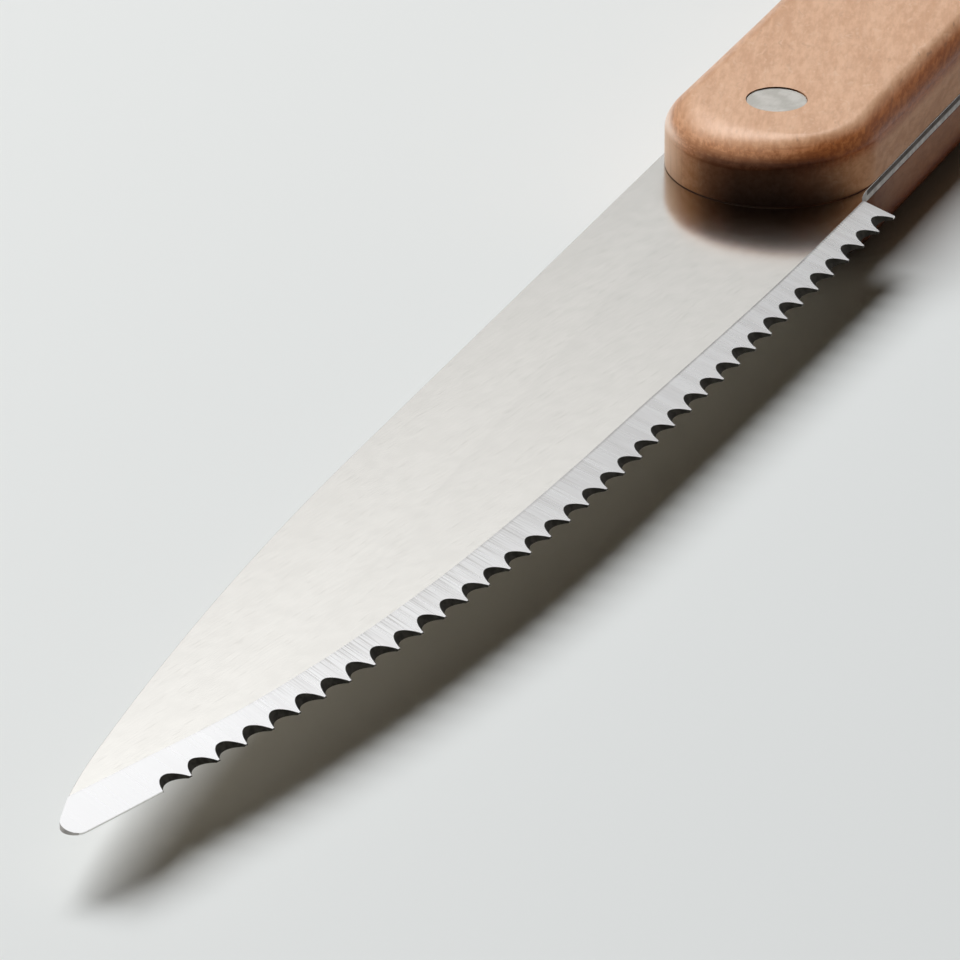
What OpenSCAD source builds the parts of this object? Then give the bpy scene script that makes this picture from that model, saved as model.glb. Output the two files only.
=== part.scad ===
// Steak knife: a serrated steel blade whose full tang is held between two wooden scales
// by three two-piece rivets. The knife lies on its lower scale: X runs from the butt to the tip,
// Y from the spine to the cutting edge, and Z up. Lengths are in millimetres, angles in degrees.

/* [Blade] */
// Length of the blade from the heel to the tip
blade_l = 118.3; // [105:0.1:140]
// Width of the blade at the heel, from the spine to the tooth points
blade_w = 20.8; // [19:0.1:26]
// Thickness of the sheet steel
blade_t = 1; // [0.7:0.1:2]
// Straight length of the spine in front of the heel
spine_straight = 58; // [30:1:70]
// Fall of the spine at the start of its last bend
spine_fall = 3.15; // [2:0.05:3.5]
// Length of that bend, back from the centre of the rounded tip
bend_l = 8.8; // [6:0.1:12]
// Distance from the spine line to the centre of the rounded tip
tip_drop = 5.9; // [5.4:0.1:9]
// Radius of the rounded tip
tip_r = 1.05; // [0.6:0.05:1.4]
// Radius of the hollow where the heel runs into the tang
shoulder_r = 5.5; // [2:0.5:12]
// Height of that hollow at the heel
shoulder_rise = 0.4; // [0.1:0.05:1]

/* [Cutting edge] */
// Straight length of the edge in front of the heel
edge_straight = 48; // [20:1:70]
// Angle between the straight edge and the spine
edge_taper = 1.9; // [0:0.1:3]
// Thickness left along the cutting edge
edge_t = 0.15; // [0.05:0.05:0.4]
// Width of the bevel, ground on the upper face alone
bevel_w = 2.8; // [2:0.1:5]
// Distance from one tooth to the next, along the edge
tooth_pitch = 3; // [2.5:0.1:5]
// Width of a tooth's point
tooth_flat = 0.2; // [0.05:0.05:0.5]
// Plain edge between the heel and the first tooth's point
tooth_lead = 0.25; // [0:0.05:2]
// Depth of the gullets between the teeth, up the bevel
gullet_d = 1.25; // [1:0.05:1.4]
// Angle between the blade and the round wheel that grinds the gullets from above
gullet_tilt = 48; // [40:1:80]
// How far that wheel is turned, so that the gullets lean towards the tip
gullet_skew = 8; // [0:1:15]
// Least length of plain edge between the last tooth and the tip
plain_l = 7; // [4:0.5:20]

/* [Handle] */
// Length of the two scales
handle_l = 106; // [90:1:125]
// Width of the scales and of the tang between them
handle_w = 17.6; // [15:0.1:18.6]
// How far the scales reach over the blade in front of the heel
handle_lead = 4.8; // [0:0.1:12]
// Thickness of one scale
scale_t = 5.4; // [4:0.1:8]
// Radius of the round along a scale's outer rim
scale_round = 2.4; // [0.5:0.1:3.4]
// Chamfer along a scale's rim beside the tang
scale_ease = 0.35; // [0.1:0.05:0.6]

/* [Rivets] */
// Distance of the front and rear rivets from the handle's ends
rivet_inset = 9.2; // [7:0.1:20]
// Diameter of a rivet's head
head_d = 4.9; // [4:0.1:6]
// Thickness of a rivet's head
head_t = 1.4; // [0.8:0.1:2]
// Chamfer round the outer face of a head
head_ease = 0.12; // [0.05:0.01:0.3]
// How deep a head's face lies below the wood
head_sink = 0.1; // [0.05:0.05:0.4]
// Outer diameter of the sleeve half
sleeve_d = 3.2; // [2.8:0.1:3.8]
// Diameter of the pin that is pressed into the sleeve
pin_d = 2; // [1.2:0.1:2.4]
// Clearance on the radius round heads, sleeves and pins
rivet_gap = 0.08; // [0.05:0.01:0.15]
// Room left in front of the end of a sleeve or pin
rivet_room = 0.6; // [0.2:0.1:1.5]

/* [Hidden] */
$fn = 96;
// Segments in each drawn arc, and in a full turn of the wide grinding arc
arc_n = 32;
grind_fn = 720;
// Overrun of every cut
over = 1;

// Plan of the blade, drawn from the heel's corner on the spine line: x to the tip, y to the edge
tip_c = [blade_l - tip_r, tip_drop];
heel = [0, blade_w];
edge_dir = [cos(edge_taper), -sin(edge_taper)];
edge_in = [-sin(edge_taper), -cos(edge_taper)];
edge_turn = heel + edge_straight * edge_dir;
// The spine falls in a long arc to its last bend, which runs smoothly into the rounded tip
bend = [tip_c.x - bend_l, spine_fall];
spine_r = ((bend.x - spine_straight) ^ 2 + spine_fall ^ 2) / (2 * spine_fall);
spine_c = [spine_straight, spine_r];
bend_start = bearing(spine_c, bend);
bend_r = arc_radius((tip_c - bend) * turn(bend_start + 90), (bend - tip_c) * turn(bend_start));
bend_c = bend - bend_r * turn(bend_start);
bend_end = bearing(bend_c, tip_c);
// The edge's arc leaves its straight run smoothly and runs smoothly into the rounded tip
edge_r = arc_radius((tip_c - edge_turn) * edge_dir, (tip_c - edge_turn) * edge_in);
edge_c = edge_turn + edge_r * edge_in;
edge_end = bearing(edge_c, tip_c);
edge_start = 90 - edge_taper;
// Teeth fill the edge up to the plain stretch at the tip
edge_l = edge_straight + edge_r * (edge_start - edge_end) * PI / 180;
tooth_n = floor((edge_l - tooth_lead - plain_l) / tooth_pitch);
// The round wheel that grinds a gullet passes through the points of both its teeth
gullet_half = (tooth_pitch - tooth_flat) / 2;
bevel_tilt = atan((blade_t - edge_t) / bevel_w);
wheel_in = gullet_d * sin(gullet_tilt - bevel_tilt);
wheel_r = (gullet_half ^ 2 + wheel_in ^ 2) / (2 * wheel_in);
wheel_turn = atan(tan(gullet_skew) * sin(gullet_tilt));
wheel_above = gullet_d + over;
wheel_below = (edge_t + over) / sin(gullet_tilt);
// Hollow shoulder from the heel to the tang
shoulder_run = sqrt(shoulder_r ^ 2 - (shoulder_r - shoulder_rise) ^ 2);
shoulder_c = [-shoulder_run, handle_w + shoulder_r];
// Centres of the handle's two round ends, on its middle line
end_r = handle_w / 2;
front_end_x = handle_lead - end_r;
rear_end_x = handle_lead - handle_l + end_r;
handle_t = 2 * scale_t + blade_t;
// The rivets on that line: one near each end, one midway
front_x = handle_lead - rivet_inset;
rear_x = handle_lead - handle_l + rivet_inset;
middle_x = (front_x + rear_x) / 2;
rivet_xs = [front_x, middle_x, rear_x];
// The whole knife is centred on the origin and rests on the plane z = 0
heel_x = (handle_l - handle_lead - blade_l) / 2;
spine_y = -blade_w / 2;
// Rivet sizes that follow from the stack they clamp
sleeve_hole_d = sleeve_d + 2 * rivet_gap;
head_hole_d = head_d + 2 * rivet_gap;
pin_hole_d = pin_d + 2 * rivet_gap;
head_seat = head_t + head_sink;
grip_t = handle_t - 2 * head_seat;

// Direction in degrees from one point to another
function bearing(from, to) = atan2(to.y - from.y, to.x - from.x);
// Radius of an arc that starts along a line and ends tangent inside the tip's round, whose centre
// lies so far along that line and so far to its side
function arc_radius(along, aside) = (along ^ 2 + aside ^ 2 - tip_r ^ 2) / (2 * (aside - tip_r));
// Points of an arc after its first point
function arc(centre, radius, from, to) =
    [for (i = [1:arc_n]) centre + radius * turn(from + (to - from) * i / arc_n)];
function turn(angle) = [cos(angle), sin(angle)];
// Bearing of the edge's outward side, and its point, at a distance along the edge from the heel
function edge_side(s) = edge_start - max(0, s - edge_straight) / edge_r * 180 / PI;
function edge_at(s) = s < edge_straight ? heel + s * edge_dir : edge_c + edge_r * turn(edge_side(s));

// Plan of the steel: spine, tip, edge, heel, shoulder and round butt
module blade_plan() {
    polygon(concat(
        [[spine_straight, 0]],
        arc(spine_c, spine_r, -90, bend_start),
        arc(bend_c, bend_r, bend_start, bend_end),
        arc(tip_c, tip_r, bend_end, edge_end),
        arc(edge_c, edge_r, edge_end, edge_start),
        [heel, [0, handle_w + shoulder_rise]],
        arc(shoulder_c, shoulder_r, bearing(shoulder_c, [0, handle_w + shoulder_rise]), -90),
        [[rear_end_x, handle_w]],
        arc([rear_end_x, end_r], end_r, 90, 270)
    ));
}

// Section of the steel that grinding takes away: x outwards from the edge, y up from the lower face
module grind_section() {
    slope = (blade_t - edge_t) / bevel_w;
    top = blade_t + slope * over;
    polygon([[over, edge_t - slope * over], [over, top], [-bevel_w - over, top]]);
}

// The grind follows the straight edge, then turns with the edge's arc past the tip
module grind() {
    past_tip = (tip_r + over) / edge_r * 180 / PI;
    translate(heel)
        rotate(-edge_taper)
            translate([-over, 0, 0])
                rotate([90, 0, 90])
                    linear_extrude(edge_straight + 2 * over)
                        grind_section();
    translate(edge_c)
        rotate(edge_end - past_tip)
            rotate_extrude(angle = edge_start - edge_end + past_tip, $fn = grind_fn)
                translate([edge_r, 0])
                    grind_section();
}

// Section of one gullet across the wheel's tilt: x inwards from the edge, y along it to the heel
module gullet_section() {
    intersection() {
        translate([wheel_in - wheel_r, 0])
            circle(r = wheel_r);
        translate([-over, -gullet_half])
            square([wheel_in + 2 * over, 2 * gullet_half]);
    }
}

// Gullets, one between each pair of teeth, ground through the edge from above
module gullets() {
    for (i = [0:tooth_n - 1]) {
        s = tooth_lead + (i + 1 / 2) * tooth_pitch;
        translate([edge_at(s).x, edge_at(s).y, edge_t])
            rotate(edge_side(s) + gullet_skew)
                rotate([0, 90 + gullet_tilt, 0])
                    rotate(wheel_turn)
                        translate([0, 0, -wheel_above])
                            linear_extrude(wheel_above + wheel_below)
                                gullet_section();
    }
}

module blade() {
    color("gainsboro")
        translate([heel_x, spine_y, scale_t])
            difference() {
                linear_extrude(blade_t)
                    blade_plan();
                grind();
                gullets();
                for (x = rivet_xs)
                    translate([x, end_r, -over])
                        cylinder(d = sleeve_hole_d, h = blade_t + 2 * over);
            }
}

// Half of a scale's section, from its middle line out: eased beside the tang, rounded outside
module scale_half_section() {
    wall = scale_t - scale_round;
    flat = end_r - scale_round;
    polygon([[0, 0], [end_r - scale_ease, 0], [end_r, scale_ease], [end_r, wall],
        [flat, wall], [flat, scale_t], [0, scale_t]]);
    translate([flat, wall])
        intersection() {
            circle(r = scale_round);
            square(scale_round);
        }
}

// One scale, tang side down, with the stepped holes of its rivets
module handle_scale() {
    difference() {
        union() {
            translate([front_end_x, 0, 0])
                rotate(-90)
                    rotate_extrude(angle = 180)
                        scale_half_section();
            translate([rear_end_x, 0, 0])
                rotate(90)
                    rotate_extrude(angle = 180)
                        scale_half_section();
            translate([rear_end_x, 0, 0])
                rotate([90, 0, 90])
                    linear_extrude(front_end_x - rear_end_x) {
                        scale_half_section();
                        mirror([1, 0])
                            scale_half_section();
                    }
        }
        for (x = rivet_xs) {
            translate([x, 0, -over])
                cylinder(d = sleeve_hole_d, h = scale_t + 2 * over);
            translate([x, 0, scale_t - head_seat])
                cylinder(d = head_hole_d, h = head_seat + over);
        }
    }
}

module upper_scale() {
    color("burlywood")
        translate([heel_x, spine_y + end_r, scale_t + blade_t])
            handle_scale();
}

module lower_scale() {
    color("tan")
        translate([heel_x, spine_y + end_r, scale_t])
            mirror([0, 0, 1])
                handle_scale();
}

// Head of a rivet, face up, standing on its seat
module rivet_head() {
    rim = head_d / 2;
    rotate_extrude()
        polygon([[0, 0], [rim, 0], [rim, head_t - head_ease], [rim - head_ease, head_t], [0, head_t]]);
}

// Sleeve half of a rivet: its head is sunk in the upper scale, its hollow shank hangs down
module rivet_sleeve(x) {
    shank_l = grip_t - rivet_room;
    color("silver")
        translate([heel_x + x, spine_y + end_r, handle_t - head_seat]) {
            rivet_head();
            translate([0, 0, -shank_l])
                difference() {
                    cylinder(d = sleeve_d, h = shank_l);
                    translate([0, 0, -over])
                        cylinder(d = pin_hole_d, h = shank_l + over);
                }
        }
}

// Pin half of a rivet: its head is sunk in the lower scale, its pin stands up inside the sleeve
module rivet_pin(x) {
    color("darkgray")
        translate([heel_x + x, spine_y + end_r, head_seat]) {
            mirror([0, 0, 1])
                rivet_head();
            cylinder(d = pin_d, h = grip_t - rivet_room);
        }
}

blade();
upper_scale();
lower_scale();
rivet_sleeve(front_x);  // front_rivet_sleeve
rivet_sleeve(middle_x);  // middle_rivet_sleeve
rivet_sleeve(rear_x);  // rear_rivet_sleeve
rivet_pin(front_x);  // front_rivet_pin
rivet_pin(middle_x);  // middle_rivet_pin
rivet_pin(rear_x);  // rear_rivet_pin
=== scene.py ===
# %% [markdown]
# # A steak knife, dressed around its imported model
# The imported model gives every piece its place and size, in metres. This lesson reads those sizes and then
# makes each piece again with the finish that a real knife has: satin sheet steel, a ground and toothed edge,
# oiled beech scales and sanded rivets. Nothing in the model is moved. Each new piece stands exactly where
# the piece it replaces lies.

# %% Load the frame
import math

import bmesh
import bpy
from mathutils import Matrix, Vector, noise


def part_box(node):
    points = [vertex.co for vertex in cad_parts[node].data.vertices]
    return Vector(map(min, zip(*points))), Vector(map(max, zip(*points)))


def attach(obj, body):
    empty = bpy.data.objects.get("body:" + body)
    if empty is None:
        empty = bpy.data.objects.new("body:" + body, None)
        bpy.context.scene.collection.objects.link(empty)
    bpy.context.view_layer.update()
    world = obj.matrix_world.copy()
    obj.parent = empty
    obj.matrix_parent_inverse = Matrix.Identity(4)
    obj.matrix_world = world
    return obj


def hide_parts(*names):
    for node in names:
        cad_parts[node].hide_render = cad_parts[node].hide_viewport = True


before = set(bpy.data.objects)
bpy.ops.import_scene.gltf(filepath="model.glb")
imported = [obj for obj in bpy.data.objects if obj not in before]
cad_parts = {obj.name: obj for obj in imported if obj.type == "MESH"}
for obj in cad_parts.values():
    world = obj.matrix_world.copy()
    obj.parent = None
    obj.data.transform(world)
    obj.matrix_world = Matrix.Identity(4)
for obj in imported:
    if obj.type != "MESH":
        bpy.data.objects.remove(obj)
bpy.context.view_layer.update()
print("nodes:", ", ".join(sorted(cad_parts)))

# %% [markdown]
# ## Sizes
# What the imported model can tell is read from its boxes: where the blade, the scales and the rivets lie. The
# few sizes that a box can't tell, such as the pitch of the teeth or the radius of a round, are named here
# with the values of the drawing, so that the dressed pieces and the solids stay the same shape.

# %% Read the places of the pieces
blade_lo, blade_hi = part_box("blade")
upper_lo, upper_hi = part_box("upper_scale")
lower_lo, lower_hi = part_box("lower_scale")
head_lo, head_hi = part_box("front_rivet_sleeve")
pin_lo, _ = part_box("front_rivet_pin")
rear_lo, rear_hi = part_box("rear_rivet_sleeve")

handle_lead = 0.0048
heel_x = upper_hi.x - handle_lead
spine_y = blade_lo.y
blade_l = blade_hi.x - heel_x
blade_w = blade_hi.y - spine_y
blade_t = blade_hi.z - blade_lo.z
handle_w = upper_hi.y - upper_lo.y
end_r = handle_w / 2
middle_y = upper_lo.y + end_r
scale_t = upper_hi.z - upper_lo.z
front_rivet = (head_lo + head_hi) / 2
rivet_step = ((rear_lo + rear_hi) / 2 - front_rivet) / 2
rivet_n = 3
head_r = (head_hi.x - head_lo.x) / 2
print(f"blade {blade_l:.4f} m from heel to tip, handle {handle_w:.4f} m wide")

# %% Sizes of the drawing that no box shows
spine_straight = 0.058
spine_fall = 0.00315
bend_l = 0.0088
tip_drop = 0.0059
tip_r = 0.00105
shoulder_r = 0.0055
shoulder_rise = 0.0004
edge_straight = 0.048
edge_taper = math.radians(1.9)
edge_t = 0.00015
bevel_w = 0.0028
tooth_pitch = 0.003
tooth_flat = 0.0002
tooth_lead = 0.00025
gullet_d = 0.00125
gullet_tilt = math.radians(48)
gullet_skew = math.radians(8)
plain_l = 0.007
scale_round = 0.0024
head_sink = 0.0001
head_t = 0.0014
sleeve_r = 0.0016
pin_r = 0.001
rivet_gap = 0.00008
rivet_room = 0.0006
overrun = 0.001
print(f"teeth every {tooth_pitch * 1000:.1f} mm, bevel {bevel_w * 1000:.1f} mm wide")

# %% [markdown]
# ## Camera
# The knife is seen from in front of its tip and a little to the edge's side, through a long lens from about
# 0.6 m. The camera is placed by the point it looks at, on the blade's upper face, and by its heading, pitch
# and distance. The picture is square, so the sensor's width is also its height.

# %% Place the camera
camera_aim = Vector((0.0497, 0.0, blade_hi.z))
camera_heading = math.radians(203.731)
camera_pitch = math.radians(26.235)
camera_distance = 0.63474
lens_mm = 320.66
sensor_mm = 36.0
clip_near = 0.01


def show(name, data):
    """An object of the scene that holds the data."""
    made = bpy.data.objects.new(name, data)
    bpy.context.scene.collection.objects.link(made)
    return made


looking = Vector((
    math.cos(camera_pitch) * math.cos(camera_heading),
    math.cos(camera_pitch) * math.sin(camera_heading),
    -math.sin(camera_pitch),
))
camera_data = bpy.data.cameras.new("camera")
camera_data.lens = lens_mm
camera_data.sensor_width = sensor_mm
camera_data.clip_start = clip_near
camera = show("camera", camera_data)
camera.location = camera_aim - camera_distance * looking
camera.rotation_mode = "QUATERNION"
camera.rotation_quaternion = looking.to_track_quat("-Z", "Y")
bpy.context.scene.camera = camera
bpy.context.scene.view_settings.view_transform = "Standard"
print("camera at", [round(v, 4) for v in camera.location])

# %% [markdown]
# ## Helpers for nodes
# Materials, groups and geometry trees are all networks of nodes. One small function fills a node's inputs:
# one that is another node's output is linked, and any other value is written on the socket. Another adds a
# node and sets its options. Sums and mixes come up so often that they get short functions of their own.

# %% Add a node, do a sum, mix two colours
def fill(tree, node, inputs):
    """A node with its inputs set. They are keyed by name or by number."""
    for key, value in dict(inputs).items():
        if isinstance(value, bpy.types.NodeSocket):
            tree.links.new(value, node.inputs[key])
        else:
            node.inputs[key].default_value = value
    return node


def add(tree, kind, inputs=(), **options):
    """A new node, with its options and inputs."""
    made = tree.nodes.new(kind)
    for name, value in options.items():
        setattr(made, name, value)
    return fill(tree, made, inputs)


def calc(tree, operation, *values):
    """A sum of numbers, as a Math node's output."""
    made = add(tree, "ShaderNodeMath", dict(enumerate(values)), operation=operation)
    return made.outputs[0]


def times(tree, first, second):
    """Two numbers multiplied."""
    return calc(tree, "MULTIPLY", first, second)


def agree(tree, first, second):
    """How far two directions agree: 1 along each other, 0 across."""
    return add(tree, "ShaderNodeVectorMath", {0: first, 1: second}, operation="DOT_PRODUCT").outputs["Value"]


def split(tree, vector):
    """The three numbers of a vector."""
    return add(tree, "ShaderNodeSeparateXYZ", {0: vector}).outputs


def join(tree, x, y, z=0.0):
    """A vector of three numbers."""
    return add(tree, "ShaderNodeCombineXYZ", {0: x, 1: y, 2: z}).outputs[0]


def vector_calc(tree, operation, inputs):
    """A sum of vectors, as a Vector Math node's output."""
    return add(tree, "ShaderNodeVectorMath", inputs, operation=operation).outputs[0]


def ramp(tree, value, low, high, to_low=0.0, to_high=1.0):
    """A value carried smoothly from one range to another, and held at its ends."""
    inputs = {0: value, 1: low, 2: high, 3: to_low, 4: to_high}
    return add(tree, "ShaderNodeMapRange", inputs, interpolation_type="SMOOTHSTEP").outputs[0]


def mix(tree, factor, first, second, blend="MIX"):
    """Two colours mixed by a factor."""
    made = add(tree, "ShaderNodeMix", {0: factor, 6: first, 7: second}, data_type="RGBA", blend_type=blend)
    return made.outputs[2]


def tinted(tree, factor, colour, tint):
    """A colour multiplied by a tint, by a factor."""
    return mix(tree, factor, colour, tint, "MULTIPLY")


def group(kind, name, inputs, outputs):
    """An empty node group with named sockets of some kinds, and its two ends."""
    tree = bpy.data.node_groups.new(name, kind + "NodeTree")
    for side, sockets in (("INPUT", inputs), ("OUTPUT", outputs)):
        for title, value in sockets.items():
            tree.interface.new_socket(title, in_out=side, socket_type="NodeSocket" + value)
    return tree, tree.nodes.new("NodeGroupInput").outputs, tree.nodes.new("NodeGroupOutput").inputs


def place(tree, shared, inputs):
    """A shader group placed in a material, with that material's own values."""
    return add(tree, "ShaderNodeGroup", inputs, node_tree=shared).outputs


def material(name):
    """A new material, with its node tree and its shader."""
    made = bpy.data.materials.new(name)
    made.use_nodes = True
    return made, made.node_tree, made.node_tree.nodes["Principled BSDF"]


# %% [markdown]
# ## Floor and light
# The photograph was taken on a seamless pale sheet, under one big soft light that hangs above the knife and
# reaches back behind the handle. The camera's side is dark, so the walls that face the camera are dark too.
# The sheet is a wide floor whose grey falls off a little towards the camera: a painted falloff of the
# light. The world is bright behind the handle and dim in front of it. Shiny surfaces see a paler version of
# it, as they would see the sheet, with three bright spots for the parts of the big light that they mirror.

# %% Lay the floor
floor_size = 6.0
floor_drop = 0.00002
floor_far_grey = (0.873, 0.869, 0.850, 1)
floor_near_grey = (0.785, 0.788, 0.780, 1)
floor_fall = 0.12
floor_turn = math.radians(-96)

floor_mesh = bpy.data.meshes.new("floor")
half = floor_size / 2
floor_mesh.from_pydata(
    [(x, y, -floor_drop) for x, y in ((-half, -half), (half, -half), (half, half), (-half, half))],
    [], [(0, 1, 2, 3)])
floor = show("floor", floor_mesh)

paper, tree, shader = material("pale_paper")
at = add(tree, "ShaderNodeTexCoord").outputs["Object"]
across = add(tree, "ShaderNodeMapping", {"Vector": at, "Rotation": (0, 0, floor_turn)}).outputs[0]
# Painted falloff of the light: the floor's grey darkens towards the camera.
painted_falloff = ramp(tree, split(tree, across)[0], -floor_fall, floor_fall)
fill(tree, shader, {
    "Base Color": mix(tree, painted_falloff, floor_far_grey, floor_near_grey),
    "Roughness": 0.9, "Specular IOR Level": 0.1})
floor_mesh.materials.append(paper)
print("floor", floor_size, "m wide")

# %% Hang the soft light
lamp_at = Vector((-0.1, -1.235, 2.0))
lamp_size = (1.6, 2.13)
lamp_power = 68.2
lamp_colour = (0.95, 0.985, 1.008)

lamp_data = bpy.data.lights.new("overhead", "AREA")
lamp_data.shape = "RECTANGLE"
lamp_data.size, lamp_data.size_y = lamp_size
lamp_data.energy = lamp_power
lamp_data.color = lamp_colour
lamp = show("overhead", lamp_data)
lamp.location = lamp_at
lamp.visible_glossy = False
print("lamp at", [round(v, 2) for v in lamp.location])

# %% Set the world
world_seen = (0.80, 0.81, 0.81, 1)
lit_colour = (1.0, 0.75, 0.45, 1)
shine_colour = (1.0, 0.995, 0.985, 1)
back_side = Vector((-0.88, -0.47, 0.0))
lit_front, lit_back = 0.018, 0.08
shine_front, shine_back = 0.24, 0.32
broad_spot = Vector((-0.572, -0.343, 0.744)), 0.84, 104.0
glint_spot = Vector((-0.45, -0.36, 0.82)), 0.93, 400.0
lamp_spot = Vector((-0.20, -0.62, 0.76)), 0.93, 250.0

world = bpy.data.worlds.new("studio")
world.use_nodes = True
bpy.context.scene.world = world
tree = world.node_tree
tree.nodes.clear()
towards = add(tree, "ShaderNodeTexCoord").outputs["Generated"]
path = add(tree, "ShaderNodeLightPath").outputs
to_back = agree(tree, towards, back_side)
lit = ramp(tree, to_back, -0.3, 1.0, lit_front, lit_back)
shine = ramp(tree, to_back, -0.5, 0.5, shine_front, shine_back)
for side, rim, lift in (broad_spot, glint_spot, lamp_spot):
    near = calc(tree, "MAXIMUM", calc(tree, "SUBTRACT", agree(tree, towards, side), rim), 0.0)
    shine = calc(tree, "MULTIPLY_ADD", times(tree, near, near), lift, shine)
dull = add(tree, "ShaderNodeBackground", {"Color": lit_colour, "Strength": lit})
shiny = add(tree, "ShaderNodeBackground", {"Color": shine_colour, "Strength": shine})
seen = add(tree, "ShaderNodeBackground", {"Color": world_seen})
unseen = add(tree, "ShaderNodeMixShader", {0: path["Is Glossy Ray"], 1: dull.outputs[0], 2: shiny.outputs[0]})
both = add(tree, "ShaderNodeMixShader", {0: path["Is Camera Ray"], 1: unseen.outputs[0], 2: seen.outputs[0]})
add(tree, "ShaderNodeOutputWorld", {0: both.outputs[0]})
print("world set")

# %% [markdown]
# ## Shared surface effects
# Sanded wood, brushed steel and a scuffed rivet have three things in common: long fine streaks along one
# direction, short marks that lie along it, and soft blotches. Each is a shader group, built once. Its
# position comes in millimetres, already turned so that X runs along the grain or the brushing. A mark is one
# cell of a stretched cell pattern, and bending the position first makes the marks curl a little.

# %% Streaks, flecks and blotches as groups
sized = {"Position": "Vector", "Length": "Float", "Width": "Float"}
streaks, inside, outside = group("Shader", "streaks", sized, {"Streak": "Float"})
stretch = join(streaks, inside["Length"], inside["Width"], inside["Width"])
squeezed = vector_calc(streaks, "DIVIDE", {0: inside["Position"], 1: stretch})
grain = add(streaks, "ShaderNodeTexNoise", {
    "Vector": squeezed, "Scale": 1.0, "Detail": 3.0, "Roughness": 0.6})
streaks.links.new(grain.outputs["Fac"], outside["Streak"])

chosen_sized = {**sized, "Share": "Float", "Bend": "Float"}
flecks, inside, outside = group("Shader", "flecks", chosen_sized, {"Fleck": "Float", "Tone": "Float"})
swirl = add(flecks, "ShaderNodeTexNoise", {"Vector": inside["Position"], "Scale": 0.7, "Detail": 1.0})
swirl = vector_calc(flecks, "SUBTRACT", {0: swirl.outputs["Color"], 1: (0.5, 0.5, 0.5)})
swirl = vector_calc(flecks, "SCALE", {0: swirl, "Scale": inside["Bend"]})
bent = vector_calc(flecks, "ADD", {0: inside["Position"], 1: swirl})
stretch = join(flecks, inside["Length"], inside["Width"], inside["Width"])
squeezed = vector_calc(flecks, "DIVIDE", {0: bent, 1: stretch})
cells = add(flecks, "ShaderNodeTexVoronoi", {"Vector": squeezed, "Scale": 1.0})
chance = split(flecks, cells.outputs["Color"])
chosen = calc(flecks, "LESS_THAN", chance[0], inside["Share"])
spot = ramp(flecks, cells.outputs["Distance"], 0.15, 0.5, 1.0, 0.0)
flecks.links.new(times(flecks, spot, chosen), outside["Fleck"])
flecks.links.new(chance[1], outside["Tone"])

round_sized = {"Position": "Vector", "Size": "Float"}
blotches, inside, outside = group("Shader", "blotches", round_sized, {"Blotch": "Float"})
per_size = calc(blotches, "DIVIDE", 1.0, inside["Size"])
squeezed = vector_calc(blotches, "SCALE", {0: inside["Position"], "Scale": per_size})
cloud = add(blotches, "ShaderNodeTexNoise", {
    "Vector": squeezed, "Scale": 1.0, "Detail": 4.0, "Roughness": 0.55})
blotches.links.new(cloud.outputs["Fac"], outside["Blotch"])
print("groups:", streaks.name, flecks.name, blotches.name)


def streak(tree, position, length, width):
    """Long fine streaks along X."""
    return place(tree, streaks, {"Position": position, "Length": length, "Width": width})["Streak"]


def fleck(tree, position, length, width, share, bend):
    """Short marks along X, and a tone for each of them. A share of the cells holds one."""
    return place(tree, flecks, {
        "Position": position, "Length": length, "Width": width, "Share": share, "Bend": bend})


def blotch(tree, position, size):
    """Soft blotches of one size."""
    return place(tree, blotches, {"Position": position, "Size": size})["Blotch"]


def turned_position(tree, turn=0.0):
    """Object position in millimetres, turned about Z so that X runs along the grain."""
    at = add(tree, "ShaderNodeTexCoord").outputs["Object"]
    inputs = {"Vector": at, "Rotation": (0, 0, turn), "Scale": (1000, 1000, 1000)}
    return add(tree, "ShaderNodeMapping", inputs).outputs[0]


# %% [markdown]
# ## Steel finishes
# The blade shows three finishes. The flat faces are satin sheet with faint marks that lie almost lengthwise.
# The bevel is brighter, because the wheel has just cut it, and its grind lines run straight across it: they
# follow the edge, so they read a map that holds the distance along the edge and in from it. Where the wheel
# chattered, in the front half of the blade, dark lines of many lengths start at the bevel's border like the
# teeth of a comb. Along the border runs a thin dark line, a painted darker reflection of the steeper start of
# a hollow grind. Towards the tip the bevel is smooth. It is wide in the middle of the blade and at the tip,
# where the wheel was pressed harder; there its flatter slope mirrors brighter light, so its colour is painted
# darker as shade. The cut walls are darker, sheared metal. The gullets' walls are painted near black, as the
# shade they lie in. Where the tang shows between the scales, its upper half is painted dark: the shadow of
# the seam above it.

# %% Satin sheet for the flat faces
brush_turn = math.radians(10.7)
satin_light = (0.70, 0.69, 0.665, 1)
satin_dark = (0.67, 0.66, 0.635, 1)
underside_bounce_tint = (0.96, 0.89, 0.78, 1)
mark_colour = (0.52, 0.505, 0.475, 1)
grind_depth = 0.00002
map_name = "edge_map"
map_unit = 0.1

satin_steel, tree, shader = material("satin_steel")
position = turned_position(tree, brush_turn)
brushed = streak(tree, position, 2.2, 0.16)
marks = fleck(tree, position, 2.0, 0.16, 0.12, 0.3)["Fleck"]
cloudy = blotch(tree, position, 1.5)
tone = calc(tree, "ADD", times(tree, brushed, 0.45), times(tree, cloudy, 0.55))
base = mix(tree, ramp(tree, tone, 0.35, 0.65), satin_dark, satin_light)
base = mix(tree, times(tree, marks, 0.28), base, mark_colour)
normal = add(tree, "ShaderNodeTexCoord").outputs["Normal"]
upright = split(tree, normal)[2]
# Painted light: the underside is tinted warmer and darker than the top, so that its bounce warms the shadow
# under the blade.
base = tinted(tree, ramp(tree, upright, -0.5, -0.9), base, underside_bounce_tint)
lengthwise = add(tree, "ShaderNodeTangent", direction_type="UV_MAP", uv_map=map_name)
bump = add(tree, "ShaderNodeBump", {"Height": brushed, "Strength": 0.035, "Distance": grind_depth})
fill(tree, shader, {
    "Base Color": base, "Metallic": 1.0, "Roughness": ramp(tree, brushed, 0.3, 0.7, 0.165, 0.19),
    "Tangent": lengthwise.outputs[0], "Anisotropic": 0.5, "Anisotropic Rotation": 0.25,
    "Normal": bump.outputs[0]})
print("made", satin_steel.name)

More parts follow.
